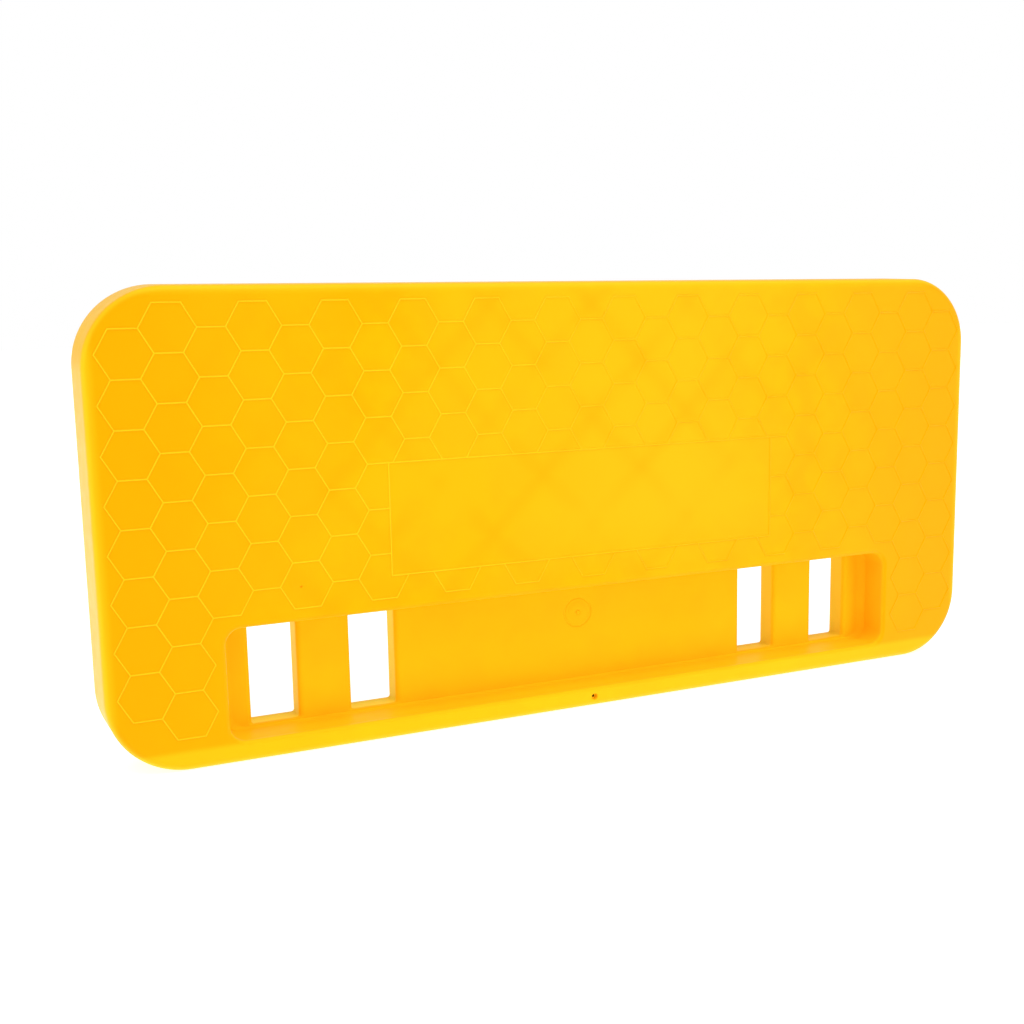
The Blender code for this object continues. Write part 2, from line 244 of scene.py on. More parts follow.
# Camera, fitted to the photograph's view
CAMERA_LENS = 44.2858
CAMERA_SENSOR = 36
CAMERA_NEAR = 0.01
CAMERA_PLACE = (-0.34161717, -0.66273433, 0.23224728)
CAMERA_TURNS = (81.14859383, 1.12053419, -24.35000604)  # in degrees


# Outlines, each a list of (x, z) points

def rounded_rectangle(x, z, width, height, radius, steps):
    """Points of a rounded rectangle round the centre (x, z), counterclockwise."""
    points = []
    for quarter, (side_x, side_z) in enumerate(((1, 1), (-1, 1), (-1, -1), (1, -1))):
        for step in range(steps + 1):
            angle = (quarter + step / steps) * math.pi / 2
            points.append((
                x + side_x * (width / 2 - radius) + radius * math.cos(angle),
                z + side_z * (height / 2 - radius) + radius * math.sin(angle),
            ))
    return points


def panel_outline(inset, growth=0.0):
    """The panel's outline. Growth widens it to both sides and upwards, but not downwards."""
    height = FACE_HEIGHT + growth
    return rounded_rectangle(0, height / 2, FACE_WIDTH + 2 * growth - 2 * inset, height - 2 * inset,
                             CORNER_RADIUS - inset, CORNER_STEPS)


def trough_outline(growth):
    return rounded_rectangle(0, (TROUGH_TOP + TROUGH_BOTTOM) / 2, 2 * (TROUGH_HALF_WIDTH + growth),
                             TROUGH_TOP - TROUGH_BOTTOM + 2 * growth, TROUGH_CORNER + growth, TROUGH_STEPS)


def trough_fillet(share):
    """The trough's outline where its fillet has taken a share of its reach, wider at the two ends."""
    inset = TROUGH_DRAFT + share * FILLET_HEIGHT
    return rounded_rectangle(0, (TROUGH_TOP + TROUGH_BOTTOM) / 2,
                             2 * (TROUGH_HALF_WIDTH - TROUGH_DRAFT - share * FILLET_WIDTH),
                             TROUGH_TOP - TROUGH_BOTTOM - 2 * inset, TROUGH_CORNER - inset, TROUGH_STEPS)


def slot_outline(x, growth):
    return rounded_rectangle(x, (SLOT_TOP + SLOT_BOTTOM) / 2, SLOT_WIDTH + 2 * growth,
                             SLOT_TOP - SLOT_BOTTOM + 2 * growth, SLOT_CORNER + growth, SLOT_STEPS)


def slot_mouth(x, share):
    """The slot's outline where its rounded mouth has opened to a share of its reach."""
    return rounded_rectangle(x, (SLOT_TOP + SLOT_BOTTOM) / 2, SLOT_WIDTH + 2 * share * MOUTH_WIDTH,
                             SLOT_TOP - SLOT_BOTTOM + 2 * share * MOUTH_HEIGHT,
                             SLOT_CORNER + share * MOUTH_HEIGHT, SLOT_STEPS)


def circle(x, z, radius, steps=ROUND_STEPS):
    turns = [2 * math.pi * step / steps for step in range(steps)]
    return [(x + radius * math.cos(turn), z + radius * math.sin(turn)) for turn in turns]


def diamond(x, z, reach):
    return [(x + reach, z), (x, z + reach), (x - reach, z), (x, z - reach)]


def level_z(level):
    """Height of a row of honeycomb corners, half a cell apart, counted down from the top."""
    return TOP_LEVEL - level * CELL_HEIGHT / 2


def hexagon(column, level):
    """The cell of a column whose top edge is at a level."""
    x = (column - MIDDLE_COLUMN) * CELL_PITCH
    side = CELL_HEIGHT / math.sqrt(3)
    top, middle, bottom = (level_z(level + step) for step in range(3))
    return [(x + side / 2, top), (x - side / 2, top), (x - side, middle),
            (x - side / 2, bottom), (x + side / 2, bottom), (x + side, middle)]


def honeycomb():
    """Whole cells: the two end columns run down beside the trough, the others stop above it."""
    last = 2 * MIDDLE_COLUMN
    cells = []
    for column in range(last + 1):
        first_level = 1 if column % 2 == 0 else 0
        rows = END_COLUMN_ROWS.get(min(column, last - column), CELL_ROWS)
        cells += [hexagon(column, first_level + 2 * row) for row in range(rows)]
    return cells


def label_outline():
    low, high = (level_z(level) for level in LABEL_LEVELS)
    half = LABEL_HALF_WIDTH
    return [(half, high), (-half, high), (-half, low), (half, low)]


# Surfaces

def quarter_roll(radius, steps):
    """Shares of a quarter round, as (along the flat, away from it), from 0 to the radius."""
    turns = [math.pi / 2 * step / steps for step in range(steps + 1)]
    return [(radius * math.sin(turn), radius * (1 - math.cos(turn))) for turn in turns]


def sweep(work, outline, profile):
    """A band of faces through an outline at each (offset, y) of a profile. Returns the last ring."""
    last = None
    for offset, y in profile:
        ring = [work.verts.new((x, y, z)) for x, z in outline(offset)]
        if last:
            for i in range(len(ring)):
                work.faces.new((last[i - 1], last[i], ring[i], ring[i - 1]))
        last = ring
    return last


def cut_plan(polygons, zone):
    """A flat mesh at y = 0, cut along the edges of all the polygons.

    zone(inside) turns the set of polygons that a piece lies in into its zone number, or None to leave
    it out."""
    points, faces, index = [], [], {}
    for polygon in polygons:
        face = []
        for x, z in polygon:
            key = (round(x / WELD), round(z / WELD))
            if key not in index:
                index[key] = len(points)
                points.append(Vector((x / MM, z / MM)))
            face.append(index[key])
        faces.append(face)
    places, _, triangles, _, _, sources = geometry.delaunay_2d_cdt(points, [], faces, 1, WELD / MM, True)
    plan = bmesh.new()
    verts = [plan.verts.new((place.x * MM, 0, place.y * MM)) for place in places]
    for triangle, source in zip(triangles, sources):
        number = zone(set(source))
        if number is not None:
            plan.faces.new([verts[i] for i in triangle]).material_index = number
    bmesh.ops.delete(plan, geom=[vert for vert in verts if not vert.link_faces], context="VERTS")
    bmesh.ops.dissolve_limit(plan, angle_limit=math.radians(FLAT_ANGLE), verts=plan.verts, edges=plan.edges,
                             delimit={"MATERIAL"})
    return plan


def terraces(work, plan, depths):
    """Put each zone of a plan at its depth, and join the steps between them with walls."""
    columns = {}
    for vert in plan.verts:
        ys = sorted({depths[face.material_index] for face in vert.link_faces})
        columns[vert] = {y: work.verts.new((vert.co.x, y, vert.co.z)) for y in ys}
    for face in plan.faces:
        y = depths[face.material_index]
        work.faces.new([columns[vert][y] for vert in face.verts])
    for edge in plan.edges:
        ends = sorted(depths[face.material_index] for face in edge.link_faces)
        if len(ends) == 2 and ends[0] != ends[1]:
            sides = [[columns[vert][y] for y in sorted(columns[vert]) if ends[0] <= y <= ends[1]]
                     for vert in edge.verts]
            work.faces.new(sides[0] + sides[1][::-1])
    plan.free()


def stitch(work):
    """Split an open edge wherever the open corner of a neighbour lies on it, and weld the two."""
    edges = [edge for edge in work.edges if edge.is_boundary]
    corners = {vert for edge in edges for vert in edge.verts}
    while edges:
        edge = edges.pop()
        first, last = edge.verts
        along = last.co - first.co
        for corner in corners:
            reach = corner.co - first.co
            share = reach.dot(along) / along.length_squared
            beside = (reach - share * along).length
            ends = min(reach.length, (corner.co - last.co).length)
            if 0 < share < 1 and beside < WELD < ends:
                edges += [edge, bmesh.utils.edge_split(edge, first, share)[0]]
                break
    bmesh.ops.remove_doubles(work, verts=work.verts, dist=WELD)


def closed_object(name, work):
    """Weld the surfaces into one closed body with its faces pointing out."""
    bmesh.ops.remove_doubles(work, verts=work.verts, dist=WELD)
    stitch(work)
    bmesh.ops.recalc_face_normals(work, faces=work.faces)
    if work.calc_volume(signed=True) < 0:
        bmesh.ops.reverse_faces(work, faces=work.faces)
    for face in work.faces:
        face.material_index = 0
        face.smooth = True
    mesh = bpy.data.meshes.new(name)
    work.to_mesh(mesh)
    open_edges = sum(1 for edge in work.edges if not edge.is_manifold)
    work.free()
    if open_edges:
        raise ValueError(f"{name} has {open_edges} open edges")
    piece = bpy.data.objects.new(name, mesh)
    bpy.context.scene.collection.objects.link(piece)
    return piece


def shade(piece):
    """Smooth curves with crisp flats."""
    piece.data.set_sharp_from_angle(angle=math.radians(SHARP_ANGLE))
    weighting = piece.modifiers.new("weighted_normals", "WEIGHTED_NORMAL")
    weighting.keep_sharp = True
    weighting.weight = LARGE_FACE_WEIGHT


# Front moulding

def signed_area(points):
    return sum(x0 * z1 - x1 * z0 for (x0, z0), (x1, z1) in zip(points, points[1:] + points[:1])) / 2


def offset_polygon(points, distance):
    """A counterclockwise polygon grown by a distance, or shrunk by a negative one, with mitred corners."""
    result = []
    for i, (x, z) in enumerate(points):
        before, after = points[i - 1], points[(i + 1) % len(points)]
        first, second = (Vector((b[1] - a[1], a[0] - b[0])).normalized()
                         for a, b in ((before, (x, z)), ((x, z), after)))
        push = (first + second) * distance / (1 + first.dot(second))
        result.append((x + push.x, z + push.y))
    return result


def fields_and_border():
    """The outlines between the raised lines: each cell, the label's rectangle and the honeycomb's border."""
    plan = cut_plan([label_outline()] + honeycomb(), lambda inside: min(inside, default=None))
    fields = [[(corner.vert.co.x, corner.vert.co.z) for corner in face.loops] for face in plan.faces]
    follow = {}
    for edge in plan.edges:
        if edge.is_boundary:
            corner = edge.link_loops[0]
            follow[corner.vert] = corner.link_loop_next.vert
    first = vert = next(iter(follow))
    border = []
    while not border or vert is not first:
        border.append((vert.co.x, vert.co.z))
        vert = follow[vert]
    plan.free()
    return [points if signed_area(points) > 0 else points[::-1] for points in fields + [border]]


def face_with_lines(work):
    """The flat face with the raised lines of the honeycomb and the label rectangle."""
    *fields, border = fields_and_border()
    loops = [(panel_outline(EDGE_ROLL), FACE_Y), (trough_outline(LIP_ROLL), FACE_Y)]
    trough_number = 1
    for width, drop in LINE_STEPS:
        loops += [(offset_polygon(points, -width * MM), CREST_Y + drop * MM) for points in fields]
        loops.append((offset_polygon(border, width * BORDER_SHARE * MM), CREST_Y + drop * MM))
    points = [Vector((x / MM, z / MM)) for loop, _ in loops for x, z in loop]
    depths = [y for loop, y in loops for _ in loop]
    starts = [sum(len(loop) for loop, _ in loops[:number]) for number in range(len(loops))]
    faces = [list(range(start, start + len(loop))) for start, (loop, _) in zip(starts, loops)]
    places, _, triangles, inputs, _, sources = geometry.delaunay_2d_cdt(points, [], faces, 1, WELD / MM, True)
    verts = [work.verts.new((place.x * MM, depths[origins[0]], place.y * MM))
             for place, origins in zip(places, inputs)]
    for triangle, source in zip(triangles, sources):
        if trough_number not in source:
            work.faces.new([verts[i] for i in triangle])
    bmesh.ops.delete(work, geom=[vert for vert in verts if not vert.link_faces], context="VERTS")


def front_edges(work):
    """The rolled outer edge with the side down to the seam, and the trough's lip, wall and floor fillet."""
    roll = [(EDGE_ROLL - along, FACE_Y + down) for along, down in quarter_roll(EDGE_ROLL, FINE_ROLL_STEPS)]
    sweep(work, panel_outline, roll + [(0, SEAM_Y - SEAM_CHAMFER), (SEAM_CHAMFER, SEAM_Y)])
    lip = [(LIP_ROLL - along, FACE_Y + down) for along, down in quarter_roll(LIP_ROLL, ROLL_STEPS)]
    fillet_y = TROUGH_FLOOR_Y - FILLET_DEPTH
    sweep(work, trough_outline, lip + [(-TROUGH_DRAFT, fillet_y)])
    sweep(work, trough_fillet,
          [(down, fillet_y + along * FILLET_DEPTH) for along, down in quarter_roll(1, FINE_ROLL_STEPS)])


def trough_floor(work):
    """The floor with the gate mark and the rounded slot edges, down through the floor's thickness."""
    gate_radius = GATE_PROFILE[0][0] * MM
    polygons = [trough_fillet(1), circle(0, GATE_Z, gate_radius)]
    polygons += [slot_mouth(x, 1) for x in SLOT_CENTRES]
    plan = cut_plan(polygons, lambda inside: 0 if inside == {0} else None)
    terraces(work, plan, {0: TROUGH_FLOOR_Y})
    roll = [(1 - along, TROUGH_FLOOR_Y + down * MOUTH_DEPTH) for along, down in quarter_roll(1, ROLL_STEPS)]
    wall = [(0, TROUGH_FLOOR_Y + MOUTH_DEPTH), (0, TROUGH_BACK_Y - SLOT_CHAMFER),
            (SLOT_CHAMFER, TROUGH_BACK_Y)]
    for x in SLOT_CENTRES:
        sweep(work, lambda share: slot_mouth(x, share), roll)
        sweep(work, lambda growth: slot_outline(x, growth), wall)
    profile = [(radius * MM, TROUGH_FLOOR_Y + depth * MM) for radius, depth in GATE_PROFILE]
    work.faces.new(sweep(work, lambda radius: circle(0, GATE_Z, radius), profile))


def front_inside(work):
    """The hidden side: rim, tongue, diagonal ribs, screw posts with pilot holes, and the trough's back."""
    rim, tongue, space, rib, trough, pilot = range(6)
    panel, past_rim, past_tongue, trough_back, slots, posts, pilots, cells = range(8)
    reach = RIB_PITCH / 2 - RIB_THICKNESS / math.sqrt(2)
    groups = [
        [panel_outline(SEAM_CHAMFER)], [panel_outline(TONGUE_INSET)],
        [panel_outline(TONGUE_INSET + TONGUE_THICKNESS)], [trough_outline(SKIN)],
        [slot_outline(x, SLOT_CHAMFER) for x in SLOT_CENTRES],
        [circle(x, z, POST_RADIUS, POST_STEPS) for x, z in SCREW_PLACES],
        [circle(x, z, SHANK_RADIUS + GAP, POST_STEPS) for x, z in SCREW_PLACES],
        [diamond(column * RIB_PITCH / 2, RIB_NODE_Z + row * RIB_PITCH / 2, reach)
         for column in RIB_COLUMNS for row in RIB_ROWS if (column + row) % 2],
    ]
    member = [group for group, polygons in enumerate(groups) for _ in polygons]

    def zone(inside):
        found = {member[number] for number in inside}
        if panel not in found or slots in found:
            return None
        rules = ((pilots in found, pilot), (posts in found, rib), (trough_back in found, trough),
                 (past_rim not in found, rim), (past_tongue not in found, tongue), (cells in found, space))
        return next((number for true, number in rules if true), rib)

    plan = cut_plan([polygon for group in groups for polygon in group], zone)
    terraces(work, plan, {rim: SEAM_Y, tongue: TONGUE_Y, space: FACE_Y + SKIN, rib: RIB_BACK_Y,
                          trough: TROUGH_BACK_Y, pilot: PILOT_Y})


def rod_cutter(name, x, z, profile):
    """A round cutter along Y, given as the radius at each depth."""
    work = bmesh.new()
    last = sweep(work, lambda size: circle(x, z, size, CUTTER_STEPS), profile)
    work.faces.new(last)
    bmesh.ops.holes_fill(work, edges=[edge for edge in work.edges if edge.is_boundary], sides=0)
    return closed_object(name, work)


def cut(piece, cutter):
    """Subtract the cutter from the piece for good."""
    step = piece.modifiers.new("cut", "BOOLEAN")
    step.operation = "DIFFERENCE"
    step.solver = "EXACT"
    step.object = cutter
    evaluated = piece.evaluated_get(bpy.context.evaluated_depsgraph_get())
    mesh = bpy.data.meshes.new_from_object(evaluated)
    piece.modifiers.remove(step)
    piece.data = mesh
    bpy.data.objects.remove(cutter)


def build_front():
    work = bmesh.new()
    face_with_lines(work)
    front_edges(work)
    trough_floor(work)
    front_inside(work)
    piece = closed_object("front_moulding", work)
    cut(piece, rod_cutter("drain_cutter", 0, DRAIN_Z, DRAIN_PROFILE))
    cut(piece, rod_cutter("dimple_cutter", *DIMPLE, DIMPLE_PROFILE))
    shade(piece)
    return piece


# Rear moulding

def rear_outline(step):
    """The outline at a depth, given as (inset, y): the side widens evenly from the seam to the back."""
    inset, y = step
    return panel_outline(inset, BACK_GROWTH * (y - REAR_Y) / (BACK_Y - REAR_Y))


def rear_skin(work):
    """The side wall, outside and inside. Returns the (inset, y) at which each meets the back."""
    side = [(SEAM_CHAMFER, REAR_Y), (0, REAR_Y + SEAM_CHAMFER)]
    side += [(down, BACK_Y - BACK_ROLL + along) for along, down in quarter_roll(BACK_ROLL, ROLL_STEPS)]
    sweep(work, rear_outline, [(step, step[1]) for step in side])
    inner_y = BACK_Y - SKIN
    inner = [(SEAM_CHAMFER, REAR_Y), (SKIN, REAR_Y)]
    inner += [(SKIN + down, inner_y - SKIN / 2 + along)
              for along, down in quarter_roll(SKIN / 2, SMALL_ROLL_STEPS)]
    sweep(work, rear_outline, [(step, step[1]) for step in inner])
    return side[-1], inner[-1]


def build_rear():
    work = bmesh.new()
    outer_edge, inner_edge = rear_skin(work)
    polygons = [rear_outline(outer_edge)]
    polygons += [slot_outline(x, SLOT_BACK_ROLL) for x in SLOT_CENTRES]
    polygons += [circle(x, z, HEAD_RADIUS + GAP + SEAT_CHAMFER) for x, z in SCREW_PLACES]
    holes = set(range(1, len(polygons)))
    polygons += [circle(x, z, MARK_RADIUS) for x, z in MARKS]

    def zone(inside):
        if inside & holes or 0 not in inside:
            return None
        return 0 if inside == {0} else 1

    terraces(work, cut_plan(polygons, zone), {0: BACK_Y, 1: BACK_Y - MARK_DEPTH})
    inner_y = BACK_Y - SKIN
    polygons = [rear_outline(inner_edge)]
    polygons += [slot_outline(x, SKIN) for x in SLOT_CENTRES]
    polygons += [circle(x, z, SEAT_RADIUS) for x, z in SCREW_PLACES]
    plan = cut_plan(polygons, lambda inside: 0 if inside == {0} else None)
    terraces(work, plan, {0: inner_y})
    collar_y = TROUGH_BACK_Y + SLOT_GAP
    collar = [(SLOT_BACK_ROLL - along, BACK_Y - down)
              for along, down in quarter_roll(SLOT_BACK_ROLL, SMALL_ROLL_STEPS)]
    collar += [(0, collar_y + SLOT_CHAMFER), (SLOT_CHAMFER, collar_y), (SKIN, collar_y), (SKIN, inner_y)]
    for x in SLOT_CENTRES:
        sweep(work, lambda growth: slot_outline(x, growth), collar)
    head = HEAD_RADIUS + GAP
    shank = SHANK_RADIUS + GAP
    seat = [(head + SEAT_CHAMFER, BACK_Y), (head, BACK_Y - SEAT_CHAMFER), (head, SEAT_FLOOR_Y),
            (shank, SEAT_FLOOR_Y), (shank, SEAT_FRONT_Y), (SEAT_RADIUS, SEAT_FRONT_Y), (SEAT_RADIUS, inner_y)]
    for x, z in SCREW_PLACES:
        sweep(work, lambda radius: circle(x, z, radius), seat)
    piece = closed_object("rear_moulding", work)
    shade(piece)
    return piece


# Screws

def screw_mesh():
    """A pan-head screw with a thread, its head's underside at z = 0 and its tip downwards."""
    work = bmesh.new()
    length = SCREW_TOP_Y - SCREW_TIP_Y - HEAD_HEIGHT
    turns = [2 * math.pi * step / SCREW_STEPS for step in range(SCREW_STEPS)]

    def turned(z, radius_at):
        return [work.verts.new((radius_at(t) * math.cos(t), radius_at(t) * math.sin(t), z)) for t in turns]

    rings = [turned(HEAD_HEIGHT * high, lambda t, wide=wide: HEAD_RADIUS * wide)
             for wide, high in HEAD_PROFILE]
    rings.append(turned(0, lambda t: SHANK_RADIUS * NECK_SHARE))
    rows = int(length / THREAD_PITCH * ROWS_PER_TURN)
    for row in range(1, rows + 1):
        z = -length * row / rows
        point = min(1, (length + z) / POINT_LENGTH)
        start = min(1, -z / THREAD_START)

        def thread(t, z=z, point=point, start=start):
            phase = (z / THREAD_PITCH - t / (2 * math.pi)) % 1
            ridge = max(0, 1 - abs(phase - 0.5) * THREAD_NARROWNESS)
            body = THREAD_CORE + (SHANK_RADIUS - THREAD_CORE) * ridge * start
            return max(POINT_RADIUS, body * (POINT_SHARE + (1 - POINT_SHARE) * point))

        rings.append(turned(z, thread))
    for first, second in zip(rings, rings[1:]):
        for i in range(SCREW_STEPS):
            work.faces.new((first[i - 1], first[i], second[i], second[i - 1]))
    work.faces.new(rings[0])
    work.faces.new(rings[-1])
    return work


def cross_cutter():
    """Two crossed wedges that narrow into the head."""
    work = bmesh.new()
    for turn in (0, math.pi / 2):
        made = bmesh.ops.create_cube(work, size=1)["verts"]
        for vert in made:
            length, width, rise = RECESS_BOTTOM if vert.co.z < 0 else RECESS_MOUTH
            vert.co.x *= length
            vert.co.y *= width
            vert.co.z = HEAD_HEIGHT + rise
        bmesh.ops.rotate(work, verts=made, matrix=Matrix.Rotation(turn, 3, "Z"))
    mesh = bpy.data.meshes.new("cross_cutter")
    work.to_mesh(mesh)
    work.free()
    cutter = bpy.data.objects.new("cross_cutter", mesh)
    bpy.context.scene.collection.objects.link(cutter)
    return cutter


def build_screws():
    """Ten screws that share one mesh, each turned a little further than the last."""
    pattern = closed_object("screw_pattern", screw_mesh())
    cutter = cross_cutter()
    step = pattern.modifiers.new("recess", "BOOLEAN")
    step.solver = "EXACT"
    step.use_self = True
    step.object = cutter
    mesh = bpy.data.meshes.new_from_object(pattern.evaluated_get(bpy.context.evaluated_depsgraph_get()))
    for spare in (pattern, cutter):
        bpy.data.objects.remove(spare)
    screws = []
    for number, (name, (x, z)) in enumerate(zip(SCREWS, SCREW_PLACES)):
        screw = bpy.data.objects.new(name + "_detail", mesh)
        bpy.context.scene.collection.objects.link(screw)
        spin = Matrix.Rotation(number * SCREW_TURN, 4, "Z")
        place = Matrix.Translation((x, SCREW_TOP_Y - HEAD_HEIGHT, z))
        screw.matrix_world = place @ Matrix.Rotation(-math.pi / 2, 4, "X") @ spin
        screws.append(screw)
    return screws


# Materials

class Nodes:
    """A material's node tree with short ways to add and link nodes."""

    def __init__(self, name):
        self.material = bpy.data.materials.new(name)
        self.material.use_nodes = True
        self.tree = self.material.node_tree
        self.shader = self.tree.nodes["Principled BSDF"]
        self.place = self.add("ShaderNodeTexCoord").outputs["Object"]

    def add(self, kind, **settings):
        node = self.tree.nodes.new(kind)
        for key, value in settings.items():
            setattr(node, key, value)
        return node

    def link(self, source, target):
        self.tree.links.new(source, target)

    def noise(self, scale, detail=2.0, roughness=0.5):
        node = self.add("ShaderNodeTexNoise")
        node.inputs["Scale"].default_value = scale
        node.inputs["Detail"].default_value = detail
        node.inputs["Roughness"].default_value = roughness
        self.link(self.place, node.inputs["Vector"])
        return node.outputs["Fac"]

    def math(self, operation, first, second=None, clamp=False):
        node = self.add("ShaderNodeMath", operation=operation, use_clamp=clamp)
        for socket, value in zip(node.inputs, (first, second)):
            if value is None:
                continue
            if isinstance(value, (int, float)):
                socket.default_value = value
            else:
                self.link(value, socket)
        return node.outputs["Value"]

    def remap(self, value, low, high, to_low, to_high):
        node = self.add("ShaderNodeMapRange", interpolation_type="SMOOTHSTEP")
        for name, number in (("From Min", low), ("From Max", high), ("To Min", to_low), ("To Max", to_high)):
            node.inputs[name].default_value = number
        self.link(value, node.inputs["Value"])
        return node.outputs["Result"]

    def mix(self, factor, first, second):
        node = self.add("ShaderNodeMix", data_type="RGBA")
        self.link(factor, node.inputs["Factor"])
        for socket, value in ((node.inputs["A"], first), (node.inputs["B"], second)):
            if isinstance(value, tuple):
                socket.default_value = value
            else:
                self.link(value, socket)
        return node.outputs["Result"]

    def bump(self, height, strength, distance, normal=None):
        node = self.add("ShaderNodeBump")
        node.inputs["Strength"].default_value = strength
        node.inputs["Distance"].default_value = distance
        self.link(height, node.inputs["Height"])
        if normal is not None:
            self.link(normal, node.inputs["Normal"])
        return node.outputs["Normal"]


def rib_shadow(nodes):
    """Two masks: 1 where a diagonal rib lies behind the skin, and 1 only where two ribs cross."""
    split = nodes.add("ShaderNodeSeparateXYZ")
    nodes.link(nodes.place, split.inputs["Vector"])
    across = split.outputs["X"]
    up = nodes.math("SUBTRACT", split.outputs["Z"], RIB_NODE_Z)
    bands = []
    for sign in ("ADD", "SUBTRACT"):
        along = nodes.math(sign, across, up)
        away = nodes.math("PINGPONG", along, RIB_PITCH / 2)
        bands.append(nodes.remap(away, 0, RIB_BLUR, 1.0, 0.0))
    both = nodes.math("MULTIPLY", bands[0], bands[1])
    return nodes.math("MAXIMUM", bands[0], bands[1]), both


class Glow:
    """Masks over the object's own coordinates. They stand in for light that comes through the plastic
    and for wide highlights, so they stay where they are when the lights change."""

    def __init__(self, nodes):
        self.nodes = nodes
        split = nodes.add("ShaderNodeSeparateXYZ")
        nodes.link(nodes.place, split.inputs["Vector"])
        self.x, self.y, self.z = split.outputs
        self.side = nodes.math("ABSOLUTE", self.x)

    def fade(self, axis, places_and_shares):
        return self.nodes.remap(axis, *places_and_shares)

    def product(self, first, second):
        return self.nodes.math("MULTIPLY", first, second)

    def most(self, first, second):
        return self.nodes.math("MAXIMUM", first, second)

    def lines(self):
        """Painted highlight on the raised lines, most at the panel's left end."""
        return self.product(self.fade(self.y, CREST_LINES), self.fade(self.x, LINES_ALONG))

    def rim(self):
        """Painted light on the outer edges and the strip under the trough."""
        top_and_strip = self.most(self.fade(self.z, TOP_RIM), self.fade(self.z, STRIP))
        return self.most(top_and_strip, self.fade(self.side, END_RIMS))

    def behind_face(self):
        """Painted light on everything behind the face's surface, and more in the mouths of the slots."""
        return self.most(self.fade(self.y, BEHIND_FACE), self.fade(self.y, SLOT_MOUTHS))

    def slots(self):
        """Painted light on the walls of the slots, but not on the panel's side or back."""
        area = self.product(self.fade(self.side, SLOTS_SIDEWAYS), self.fade(self.z, SLOTS_UP))
        share = self.product(self.fade(self.y, BEFORE_BACK), self.fade(self.x, SLOTS_ALONG))
        return self.product(area, share)

    def middle(self):
        """A wide soft oval of painted light in the middle of the panel, for light through the plastic and a
        soft highlight.
        """
        across = self.product(self.fade(self.x, OVAL_LEFT), self.fade(self.x, OVAL_RIGHT))
        up = self.product(self.fade(self.z, OVAL_BOTTOM), self.fade(self.z, OVAL_TOP))
        return self.product(across, up)

    def ends(self):
        """The face's two ends, where less light comes through."""
        return self.product(self.fade(self.y, ENDS_FACE), self.fade(self.side, ENDS_SIDEWAYS))

    def sunk(self):
        """Inside the trough and the slots, where the plastic is given less reflection."""
        area = self.product(self.fade(self.side, SUNK_SIDEWAYS), self.fade(self.z, SUNK_UP))
        depth = self.product(self.fade(self.y, SUNK_DEPTH), self.fade(self.y, BEFORE_BACK))
        return self.product(area, depth)


def yellow_plastic(name, base, deep_tone_and_shade, pale_tone_and_light, glow, gloss, places):
    """Satin moulded plastic with faint mottling and rib shadows, and its glow painted at the named places."""
    nodes = Nodes(name)
    masks = Glow(nodes)
    band, crossing = rib_shadow(nodes)
    mottle = nodes.remap(nodes.noise(scale=38, detail=3.0, roughness=0.55), 0.36, 0.66, 0.0, 1.0)
    cloud = nodes.remap(nodes.noise(scale=9, detail=2.0, roughness=0.5), 0.35, 0.65, 0.0, 0.6)
    colour = nodes.mix(nodes.math("MULTIPLY", mottle, MOTTLE_SHARE), base, deep_tone_and_shade)
    colour = nodes.mix(nodes.math("MULTIPLY", cloud, CLOUD_SHARE), colour, pale_tone_and_light)
    # Painted light: a pale oval in the middle of the face.
    colour = nodes.mix(masks.middle(), colour, pale_tone_and_light)
    # Painted shade: the face's two ends darker.
    colour = nodes.mix(masks.ends(), colour, deep_tone_and_shade)
    patchy = nodes.remap(nodes.noise(scale=14), 0.4, 0.6, 0.1, 1.0)
    shadow = nodes.math("MULTIPLY", nodes.math("MULTIPLY", band, patchy), RIB_SHARE)
    shadow = nodes.math("ADD", shadow, nodes.math("MULTIPLY", crossing, CROSSING_SHARE), clamp=True)
    colour = nodes.mix(shadow, colour, deep_tone_and_shade)
    for place in places:
        colour = nodes.mix(getattr(masks, place)(), colour, glow)
    nodes.link(colour, nodes.shader.inputs["Base Color"])
    rough = nodes.remap(nodes.noise(scale=140, detail=4.0, roughness=0.6), 0.3, 0.7, 0.38, 0.46)
    nodes.link(rough, nodes.shader.inputs["Roughness"])
    waves = nodes.bump(nodes.noise(scale=30, detail=1.0), strength=0.25, distance=0.3 * MM)
    grain = nodes.bump(nodes.noise(scale=1800), strength=0.12, distance=0.05 * MM, normal=waves)
    nodes.link(grain, nodes.shader.inputs["Normal"])
    nodes.shader.inputs["IOR"].default_value = PLASTIC_IOR
    reflection = nodes.remap(masks.sunk(), 0, 1, gloss, SUNK_GLOSS)
    nodes.link(reflection, nodes.shader.inputs["Specular IOR Level"])
    nodes.shader.inputs["Specular Tint"].default_value = PLASTIC_SHEEN
    return nodes.material


def zinc_steel():
    """Zinc-plated steel with fine grain and a few dull patches."""
    nodes = Nodes("zinc_plated_steel")
    patches = nodes.remap(nodes.noise(scale=420, detail=3.0), 0.35, 0.7, 0.0, 1.0)
    colour = nodes.mix(patches, (0.62, 0.62, 0.6, 1), (0.42, 0.43, 0.42, 1))
    nodes.link(colour, nodes.shader.inputs["Base Color"])
    rough = nodes.remap(nodes.noise(scale=900, detail=4.0), 0.3, 0.7, 0.24, 0.42)
    nodes.link(rough, nodes.shader.inputs["Roughness"])
    nodes.shader.inputs["Metallic"].default_value = 1.0
    grain = nodes.bump(nodes.noise(scale=4000), strength=0.2, distance=0.02 * MM)
    nodes.link(grain, nodes.shader.inputs["Normal"])
    return nodes.material


